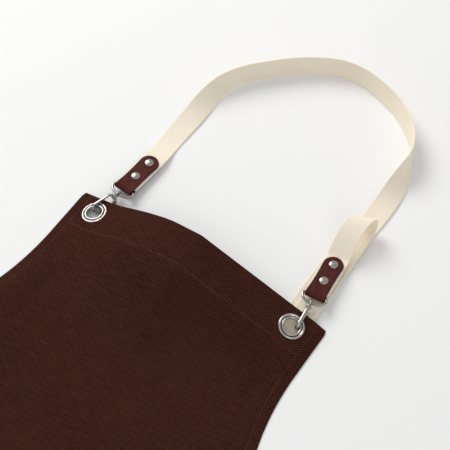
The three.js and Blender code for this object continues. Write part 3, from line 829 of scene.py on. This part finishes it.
# ======== straps ========
HIP_X = HIP_HALF - 32
HIP_DEPTH = ARMHOLE_DEPTH + 28
SEAM_HEIGHT = STRAP_ROOM - GAP - WEBBING / 2
TABLE_HEIGHT = WEBBING / 2 + 0.1
SECOND_HEIGHT = TABLE_HEIGHT + WEBBING + GAP
FOLD_X = 124.0
FOLD_DEPTH = 380.0
TAB_YAW = {"left": -3.7, "right": 5.4}


def station(x, y, z, yaw, lean=0.0):
    """The tape's left and right edge at a place on its route."""
    turn, tip = math.radians(yaw), math.radians(lean)
    across = Vector((math.cos(tip) * math.cos(turn), math.cos(tip) * math.sin(turn), math.sin(tip)))
    half = across * (WEBBING_WIDTH / 2)
    centre = Vector((x, y, z))
    return centre + half, centre - half


def smooth_run(stations, per_span):
    ends = [station(*s) for s in stations]
    left, right = [e[0] for e in ends], [e[1] for e in ends]
    steps = per_span * (len(stations) - 1)
    return [(catmull(left, i / steps), catmull(right, i / steps)) for i in range(steps + 1)]


def leaning_height(lean):
    angle = math.radians(lean)
    return WEBBING_WIDTH / 2 * math.sin(angle) + WEBBING / 2 * abs(math.cos(angle)) + 0.35


def under_tab(side):
    """The stations where the strap is held between the tab's two layers."""
    made = []
    for depth in (5, RIVETS["lower"], RIVETS["upper"], TAB_LENGTH - 4, TAB_LENGTH + 1.5):
        point = UP_THE_BIB.inverted() @ PIVOTS[side]["tab"] @ Vector((0, depth, 0))
        made.append((*point, 180 + TAB_YAW[side], 0))
    return made


def left_strap(per_span):
    """Up from the left tab, over the neck on its edge, down under the bib and across to the right hip."""
    arc = [
        (-116.3, 100, 180, 0), (-115.8, 125, 179, 4), (-114.6, 150, 178, 14), (-113, 176, 174, 36),
        (-108.5, 200, 160, 60), (-96.5, 224, 142, 74), (-80, 243, 134, 78), (-58.5, 264, 129, 78),
        (-35, 281, 120, 78), (-10, 293.5, 105, 77), (17, 297, 88, 76), (47, 291, 72, 74),
        (75, 279.5, 54, 74), (98, 262.5, 36, 78), (112.5, 245, 22, 87), (120, 228, 14, 99),
        (123, 210, 8, 122), (124, 191, 4, 148), (124.3, 171, 0, 166), (124, 150, -3, 175),
        (122.5, 128, -4, 180), (120, 104, -5, 180), (117.6, 78, -2, 180), (117, 50, 0, 180),
        *[(117, y, 0, 180) for y in (20, -20, -60)], (119, -110, 4, 180),
        (128, -165, 14, 180), (148, -220, 30, 180),
    ]
    route = [(x, y, leaning_height(lean), yaw, lean) for x, y, yaw, lean in arc]
    hidden = [
        (HIP_X - 132, -HIP_DEPTH + 62, TABLE_HEIGHT + 0.1, 45, 180),
        (HIP_X - 85, -HIP_DEPTH + 26, TABLE_HEIGHT + 0.3, 60, 180),
        (HIP_X - 36, -HIP_DEPTH + 7, SEAM_HEIGHT - 0.6, 76, 180),
        (HIP_X, -HIP_DEPTH, SEAM_HEIGHT, 84, 180),
    ]
    return smooth_run([*under_tab("left"), *route, *hidden], per_span)


def fold_run():
    """A flat fold: the tape turns over about a skew line and leaves to the left, one layer higher."""
    line = Vector((-1, -1, 0)).normalized()
    out = Vector((1, -1, 0)).normalized()
    radius = (SECOND_HEIGHT - TABLE_HEIGHT) / 2
    half = WEBBING_WIDTH / 2 * math.sqrt(2)
    run = []
    for i in range(9):
        angle = math.pi * i / 8
        centre = Vector((FOLD_X, -FOLD_DEPTH, TABLE_HEIGHT + radius * (1 - math.cos(angle))))
        centre += out * (radius * math.sin(angle))
        run.append((centre + line * half, centre - line * half))
    return run


def right_strap(per_span):
    """Out of the right tab into a standing loop, back under the bib, then across to the left hip."""
    loop = [
        (118.2, 87, 13, 187), (117.6, 98, 19.5, 189), (117.6, 109, 24, 191), (118.2, 119, 25.5, 194),
        (119.6, 127.5, 22.5, 197), (120.9, 131.5, 16.5, 197), (122, 129.5, 10, 194), (123, 122, 5.8, 190),
        (123.8, 110, 3.6, 185), (124, 97, SECOND_HEIGHT + 0.15, 181),
        *[(124, y, SECOND_HEIGHT + 0.1, 180) for y in (77, 45, 10, -40, -100, -170, -245)],
        (124, -285, SECOND_HEIGHT - 0.6, 180), (124, -325, TABLE_HEIGHT + 0.1, 180),
        (124, -350, TABLE_HEIGHT, 180),
    ]
    across = [
        (FOLD_X - 30, -FOLD_DEPTH, SECOND_HEIGHT, 270), (FOLD_X - 75, -FOLD_DEPTH, SECOND_HEIGHT - 0.6, 270),
        (FOLD_X - 120, -FOLD_DEPTH, TABLE_HEIGHT + 0.1, 270), (-60, -FOLD_DEPTH, TABLE_HEIGHT, 269),
        (-0.5 * HIP_X, -FOLD_DEPTH + 9, TABLE_HEIGHT, 262), (-HIP_X + 70, -HIP_DEPTH - 18, TABLE_HEIGHT + 0.2, 256),
        (-HIP_X + 30, -HIP_DEPTH - 6, SEAM_HEIGHT - 0.6, 254), (-HIP_X, -HIP_DEPTH, SEAM_HEIGHT, 252),
    ]
    return [*smooth_run([*under_tab("right"), *loop], per_span), *fold_run(), *smooth_run(across, per_span)]


def tape_outline():
    """Round the tape's section: (place across from -1 to 1, place through from -1 to 1)."""
    steps, edge = 22, 5
    flat = 1 - 0.6 / (WEBBING_WIDTH / 2)
    outline = [(-flat + 2 * flat * i / steps, 1.0) for i in range(steps + 1)]
    for i in range(1, edge):
        angle = math.pi / 2 - math.pi * i / edge
        outline.append((flat + (1 - flat) * math.cos(angle), math.sin(angle)))
    outline += [(flat - 2 * flat * i / steps, -1.0) for i in range(steps + 1)]
    for i in range(1, edge):
        angle = -math.pi / 2 - math.pi * i / edge
        outline.append((-flat + (1 - flat) * math.cos(angle), math.sin(angle)))
    return outline


def build_tape(run):
    """A woven tape through its run of edges, and its length along the middle in millimetres."""
    shell = Shell()
    outline = tape_outline()
    middles = [(left + right) / 2 for left, right in run]
    rings = []
    length = 0.0
    for i, (left, right) in enumerate(run):
        if i:
            length += (middles[i] - middles[i - 1]).length
        ahead = middles[min(i + 1, len(run) - 1)]
        behind = middles[max(i - 1, 0)]
        across = left - right
        normal = (ahead - behind).cross(across).normalized()
        ring = []
        for u, b in outline:
            selvedge = 1 + 0.10 * smooth(0.80, 0.92, abs(u))
            offset = across * (u / 2) + normal * (b * selvedge * WEBBING / 2)
            mark = (u * WEBBING_WIDTH / 2, length, b)
            ring.append(shell.point(middles[i] + offset, mark))
        rings.append(ring)
    return shell.loft(rings), length


def box_stitch(run, first, last, face):
    """A box of stitches with a cross in it, sewn through the tape between two places on its run."""
    shell = Shell()

    def point(along, across):
        place = lerp(first, last, along)
        i = int(clamp(place, 0, len(run) - 2))
        t = place - i
        left = run[i][0].lerp(run[i + 1][0], t)
        right = run[i][1].lerp(run[i + 1][1], t)
        normal = (run[i + 1][0] - run[i][0]).cross(left - right).normalized() * face
        return (left + right) / 2 + (left - right) * across / 2 + normal * (WEBBING / 2), normal

    corners = [(0.1, -0.78), (0.9, -0.78), (0.9, 0.78), (0.1, 0.78)]
    lines = list(zip(corners, corners[1:] + corners[:1])) + [(corners[0], corners[2]), (corners[1], corners[3])]
    for start, end in lines:
        a, _ = point(*start)
        b, _ = point(*end)
        count = max(3, int((b - a).length / STITCH))
        for k in range(count):
            t0, t1 = (k + 0.12) / count, (k + 0.86) / count
            p, up = point(lerp(start[0], end[0], t0), lerp(start[1], end[1], t0))
            q, _ = point(lerp(start[0], end[0], t1), lerp(start[1], end[1], t1))
            shell.merge(stitch_shell(p, q, up, 0.7, 0.3))
    return shell


# ======== leather tab ========
def tab_half_width(y):
    half = TAB_WIDTH / 2
    round_start = TAB_LENGTH - half
    if y > round_start:
        return math.sqrt(max(half ** 2 - (y - round_start) ** 2, 0.0))
    t = clamp((y - 3) / (round_start - 3))
    return half - 4 * TAB_WAIST * t * (1 - t)


def tab_path():
    """The strip's middle line as (y, z): down the front, round the D-ring's bar and up the back."""
    inner = WEBBING / 2 + GAP + LEATHER / 2
    fold = RING_WIRE + 0.4 + LEATHER / 2
    tip = TAB_LENGTH - 0.06
    front = []
    for i in range(15):
        front.append((tip - 8 * (i / 14) ** 2, inner))
    y = tip - 8
    while y > 16:
        y -= 1.2
        front.append((y, inner))
    for i in range(1, 15):
        here = y * (1 - i / 14)
        front.append((here, lerp(inner, fold, smooth(y, -4, here))))
    bend = []
    for i in range(1, 18):
        angle = math.pi / 2 + math.pi * i / 18
        bend.append((fold * math.cos(angle), fold * math.sin(angle)))
    back = [(y, -z) for y, z in reversed(front)]
    return front + bend + back


def tab_outline():
    steps, edge = 30, 6
    outline = [(-1 + 2 * i / steps, 1.0, 0.0) for i in range(steps + 1)]
    outline += [(1.0, math.cos(math.pi * i / edge), math.sin(math.pi * i / edge)) for i in range(1, edge)]
    outline += [(1 - 2 * i / steps, -1.0, 0.0) for i in range(steps + 1)]
    outline += [(-1.0, -math.cos(math.pi * i / edge), math.sin(math.pi * i / edge)) for i in range(1, edge)]
    return outline


def rivet_dimple(x, y):
    """How far the leather is pulled in round each rivet's cap."""
    return sum(0.28 * math.exp(-(((math.hypot(x, y - at) - RIVET_CAP) / 1.3) ** 2)) for at in RIVETS.values())


def build_tab():
    shell = Shell()
    path = [Vector((0, y, z)) for y, z in tab_path()]
    outline = tab_outline()
    rings = []
    bulge = 0.32
    for i, centre in enumerate(path):
        ahead = path[min(i + 1, len(path) - 1)]
        behind = path[max(i - 1, 0)]
        tangent = (ahead - behind).normalized()
        normal = Vector((1, 0, 0)).cross(tangent).normalized()
        if i < len(path) / 2:
            normal = normal if normal.z > 0 or centre.y < 0 else -normal
        half = max(tab_half_width(centre.y), 0.3)
        flat = max(half - bulge, 0.2)
        ring = []
        for u, b, round_off in outline:
            x = u * flat + math.copysign(round_off * min(bulge, half), u)
            edge = min(half - abs(x), TAB_LENGTH - centre.y if centre.y > 0 else 99)
            soft = 1 - 0.28 * math.exp(-edge / 0.5)
            crown = 0.10 * (1 - u * u) if b > 0.9 else 0.0
            dimple = rivet_dimple(x, centre.y) if abs(b) > 0.9 else 0.0
            lift = b * soft * LEATHER / 2 + crown - math.copysign(dimple, b) * 0.7
            mark = (x, centre.y * math.copysign(1, b), edge)
            ring.append(shell.point(centre + Vector((x, 0, 0)) - normal * lift, mark))
        rings.append(ring)
    return shell.loft(rings)


SANDWICH = WEBBING / 2 + GAP + LEATHER


def build_rivet_cap():
    """A crowned cap with a rolled rim, on its post."""
    base = SANDWICH - 0.12
    crown = [(RIVET_CAP * math.cos(a), base + 0.5 + 1.62 * math.sin(a)) for a in
             [math.pi / 2 * i / 12 for i in range(1, 13)]]
    rim = [(RIVET_CAP - 0.55, base), (RIVET_CAP - 0.15, base + 0.05), (RIVET_CAP, base + 0.28),
           (RIVET_CAP, base + 0.5)]
    profile = [(0.02, base)] + rim + [(max(r, 0.02), z) for r, z in crown]
    return turned(profile, 64)


def build_rivet_back():
    base = -SANDWICH - 0.05
    profile = [(0.02, base - 0.8), (2.2, base - 0.8), (2.6, base - 0.62), (3.2, base - 0.8), (4.0, base - 0.74),
               (4.42, base - 0.45), (4.5, base - 0.1), (4.3, base), (0.02, base)]
    return turned(rounded(profile, 0.2, 2), 56)


# ======== eyelets ========
def eyelet_frame(side):
    sign = SIDES[side]
    slope = LEFT_SLOPE if sign < 0 else -RIGHT_SLOPE
    x, depth = EYELETS[side]
    place = Matrix.Translation((x, TOP_EDGE - depth, tent_line(x) + CANVAS / 2))
    return place @ Matrix.Rotation(-math.atan(slope), 4, "Y")


def build_eyelet():
    """The barrel with its broad flange, a groove, and the raised inner lip."""
    top = CANVAS / 2 + 0.1
    low = -(CANVAS / 2 + 1.0)
    profile = [
        (EYELET_HOLE, low - 0.5), (EYELET_HOLE + 1.3, low - 0.6), (EYELET_LIP, low), (EYELET_HOLE + 0.7, low + 0.1),
        (EYELET_HOLE + 0.7, top), (EYELET_FLANGE - 0.3, top - 0.1), (EYELET_FLANGE, top + 0.15),
        (EYELET_FLANGE - 0.35, top + 0.85), (EYELET_FLANGE - 1.3, top + 1.2), (EYELET_FLANGE - 2.2, top + 0.75),
        (EYELET_LIP + 0.5, top + 0.22), (EYELET_LIP + 0.05, top + 0.3), (EYELET_LIP - 0.35, top + 1.1),
        (EYELET_LIP - 0.9, top + 1.5), (EYELET_HOLE + 0.45, top + 1.25), (EYELET_HOLE, top + 0.5),
    ]
    shell = turned(rounded(profile, 0.4, 3), 112)
    for i, point in enumerate(shell.points):
        radius = math.hypot(point.x, point.y)
        # The groove is marked for painted shade: the metal is darkened in it where shade falls.
        groove = smooth(0.75, 0.15, abs(radius - EYELET_LIP - 0.35)) if point.z > CANVAS / 2 else 0.0
        shell.marks[i] = (groove, 0.0, 0.0)
    return shell


def build_washer():
    top = -(CANVAS / 2 + 0.1)
    inner, outer = EYELET_HOLE + 1.0, EYELET_FLANGE - 0.5
    profile = [(inner, top - 0.6), (inner, top - 0.05), (outer - 0.4, top), (outer, top - 0.2),
               (outer - 0.3, top - 0.6)]
    return turned(rounded(profile, 0.2, 2), 84)


# ======== rings and hooks ========
def build_ring():
    """The D: a bent wire whose ends meet in the middle of its straight bar, inside the leather."""
    bow = []
    for i in range(25):
        angle = math.pi * i / 24
        x = -RING_HALF * math.copysign(abs(math.cos(angle)) ** 0.82, math.cos(angle))
        bow.append(Vector((x, -RING_DEPTH * math.sin(angle) ** 0.82, 0)))
    corner = 1.0
    start = [Vector((0, 0, 0)), Vector((-0.5 * RING_HALF, 0, 0)), Vector((-RING_HALF + corner, 0, 0))]
    end = [Vector((RING_HALF - corner, 0, 0)), Vector((0.5 * RING_HALF, 0, 0))]
    points = start + bow[1:-1] + end + [Vector((0.0, 0, 0))]
    return wire(points, RING_WIRE, 220, 24)


def build_eye():
    """The swivel eye: a loop, its neck and the peened head that the hook's collar turns on."""
    centre = EYE_BORE - RING_WIRE - GAP
    major = EYE_BORE + EYE_WIRE
    loop = [(centre + major * math.cos(a), major * math.sin(a), 0) for a in [2 * math.pi * i / 24 for i in range(25)]]
    shell = wire(loop, EYE_WIRE, 72, 20, closed=True)
    head = COLLAR_START + COLLAR_LENGTH + GAP
    shell.merge(rod(POST, centre + EYE_BORE + 0.5, head + 0.6))
    shell.merge(rod(POST + 0.9, head, head + 1.0, chamfer=0.35))
    shell.merge(rod(POST + 0.5, centre + EYE_BORE + 1.1, COLLAR_START - 0.25, chamfer=0.2))
    return shell


NOSE_RADIUS = (SPINE + GATE) / 2
NOSE_CENTRE = NOSE - NOSE_RADIUS
NOSE_MIDDLE = (SPINE - GATE) / 2
TIP_END = NOSE_CENTRE - 2.6
GATE_WIDTH = 2.2
FORK_HALF = GATE_WIDTH / 2 + GAP
CHEEK = 0.8


def hook_shells():
    """The hook's spine, nose, collar and the fork that holds the gate, and the holes through them."""
    spine = [
        (COLLAR_START + 1.4, POST + GAP + 0.9, 0), (COLLAR_START + 3.4, POST + 1.9, 0), (GATE_PIVOT, SPINE - 0.1, 0),
        ((GATE_PIVOT + NOSE_CENTRE) / 2, SPINE, 0), (NOSE_CENTRE - 2, SPINE, 0),
    ]
    for i in range(1, 12):
        angle = math.pi / 2 - math.pi * i / 12
        spine.append((NOSE_CENTRE + NOSE_RADIUS * math.cos(angle), NOSE_MIDDLE + NOSE_RADIUS * math.sin(angle), 0))
    spine += [(NOSE_CENTRE - 0.6, -GATE, 0), (TIP_END, -GATE, 0)]
    shell = wire(spine, HOOK_WIRE, 150, 24)
    stub = [(COLLAR_START + 1.4, -POST - GAP - 0.9, 0), (GATE_PIVOT - 3.2, -GATE + 0.8, 0),
            (GATE_PIVOT - 2.2, -GATE, 0)]
    shell.merge(wire(stub, HOOK_WIRE, 20, 24)).moved(Matrix.Diagonal((1, 1, HOOK_BREADTH, 1)))
    shell.merge(rod(COLLAR_OUTER, COLLAR_START, COLLAR_START + COLLAR_LENGTH, 48, 0.45))
    half = FORK_HALF + CHEEK
    shell.merge(slab(capsule(GATE_PIVOT - 3.4, GATE_PIVOT - 2.9, -GATE, HOOK_WIRE), -half, half))
    for sign in (-1, 1):
        low, high = sorted((sign * FORK_HALF, sign * half))
        shell.merge(slab(capsule(GATE_PIVOT - 3.2, GATE_PIVOT, -GATE, HOOK_WIRE), low, high))
    head = COLLAR_START + COLLAR_LENGTH
    bore = rod(POST + 0.25, 0, head + 2, 32, 0.1)
    relief = rod(POST + 0.9 + 0.25, head + 0.05, head + 2.2, 32, 0.1)
    return shell, [bore, relief]


def build_gate():
    half = 0.8
    shell = slab(capsule(3.4, TIP_END - GAP - GATE_PIVOT - half, 0, half), -GATE_WIDTH / 2, GATE_WIDTH / 2)
    for sign in (-1, 1):
        low, high = sorted((sign * (GATE_WIDTH / 2 - 0.55), sign * GATE_WIDTH / 2))
        shell.merge(slab(capsule(0, 3.6, 0, half + 0.5), low, high))
    return shell


def build_spring():
    coil = 1.15
    points = []
    for i in range(17):
        angle = 2.5 * math.pi * i / 16 - math.pi
        points.append((coil * math.cos(angle), coil * math.sin(angle), 0.52 * (i / 16 - 0.5)))
    points.append((1.9, -coil, 0.36))
    return wire(points, 0.2, 90, 12)


def along_z(shell):
    """A rod made along X, turned to lie along Z."""
    return shell.moved(Matrix.Rotation(-math.pi / 2, 4, "Y"))


# ======== assembly ========
def add_metal(name, mesh, material, body, replaced):
    mesh.name = "metal_" + name
    add_piece("metal_" + name, mesh, material, body, [replaced])


def add_apron_panel():
    mesh = build_panel().mesh("canvas_panel", "cloth")
    piece = add_piece("canvas_panel", mesh, "canvas", "apron", ["apron_panel"])
    mesh = build_hem_stitches().mesh("hem_stitches", "cloth")
    seams = add_piece("hem_stitches", mesh, "brown_thread", "apron")


def add_strap(side, run):
    shell, length = build_tape(run)
    name = "webbing_strap_" + side
    mesh = shell.moved(UP_THE_BIB).mesh(name, "cloth")
    piece = add_piece(name, mesh, "webbing", "apron", ["strap_" + side])
    last = len(run) - 1
    sewn_name = "strap_end_stitches_" + side
    mesh = box_stitch(run, last - SEWN_STEPS, last, -1).moved(UP_THE_BIB).mesh(sewn_name, "cloth")
    seam = add_piece(sewn_name, mesh, "cream_thread", "apron")
    return length


def add_tab(side):
    place = PIVOTS[side]["tab"]
    name = "leather_" + side
    mesh = build_tab().moved(place).mesh(name, "hide")
    add_piece(name, mesh, "leather", "apron", ["leather_tab_" + side])
    for level, at in RIVETS.items():
        here = place @ Matrix.Translation((0, at, 0))
        for part, build in (("cap", build_rivet_cap), ("back", build_rivet_back)):
            node = f"rivet_{part}_{side}_{level}"
            add_metal(node, build().moved(here).mesh(node), "nickel", "apron", node)


def add_eyelet(side):
    place = eyelet_frame(side)
    for part, build in (("bib_eyelet_", build_eyelet), ("bib_eyelet_washer_", build_washer)):
        node = part + side
        add_metal(node, build().moved(place).mesh(node, "groove_shade"), "eyelet", "apron", node)


def add_clip(side):
    place = PIVOTS[side]

    def add(name, mesh, body, node):
        add_metal(name + side, mesh, "nickel", body + side, node + side)

    add("d_ring_", build_ring().moved(place["ring"]).mesh("d_ring"), "ring_", "d_ring_")
    eye = cast("eye", build_eye(), [], 0.13, 5)
    add("eye_", settled(eye, place["eye"]), "eye_", "swivel_eye_")
    shells, holes = hook_shells()
    hook = cast("hook", shells, holes, 0.14, 5)
    add("hook_", settled(hook, place["hook"]), "hook_", "hook_body_")
    pin_end = FORK_HALF + CHEEK + 0.3
    pin = along_z(rod(PIN, -pin_end, pin_end, 24, 0.2)).moved(place["gate"])
    add("gate_pin_", pin.mesh("pin"), "hook_", "gate_pin_")
    bore = along_z(rod(PIN + 0.22, -4, 4, 24, 0.1))
    gate = cast("gate", build_gate(), [bore], 0.11, 4)
    add("gate_", settled(gate, place["gate"]), "gate_", "hook_gate_")
    spring = build_spring().moved(place["gate"])
    add("spring_", spring.mesh("spring"), "gate_", "gate_spring_")


def add_floor():
    shell = Shell()
    reach = 6000
    corners = [shell.point((x * reach, y * reach, -0.05)) for x, y in ((-1, -1), (1, -1), (1, 1), (-1, 1))]
    shell.faces.append(tuple(corners))
    mesh = shell.mesh("floor")
    mesh.materials.append(floor_material())
    linked("floor", mesh)


place_camera()
light_studio()
add_floor()
LENGTHS = {
    "left": add_strap("left", left_strap(PER_SPAN)),
    "right": add_strap("right", right_strap(PER_SPAN)),
}
add_apron_panel()
for clip_side in SIDES:
    add_tab(clip_side)
    add_eyelet(clip_side)
    add_clip(clip_side)
print("strap lengths, mm:", {side: round(length) for side, length in LENGTHS.items()})
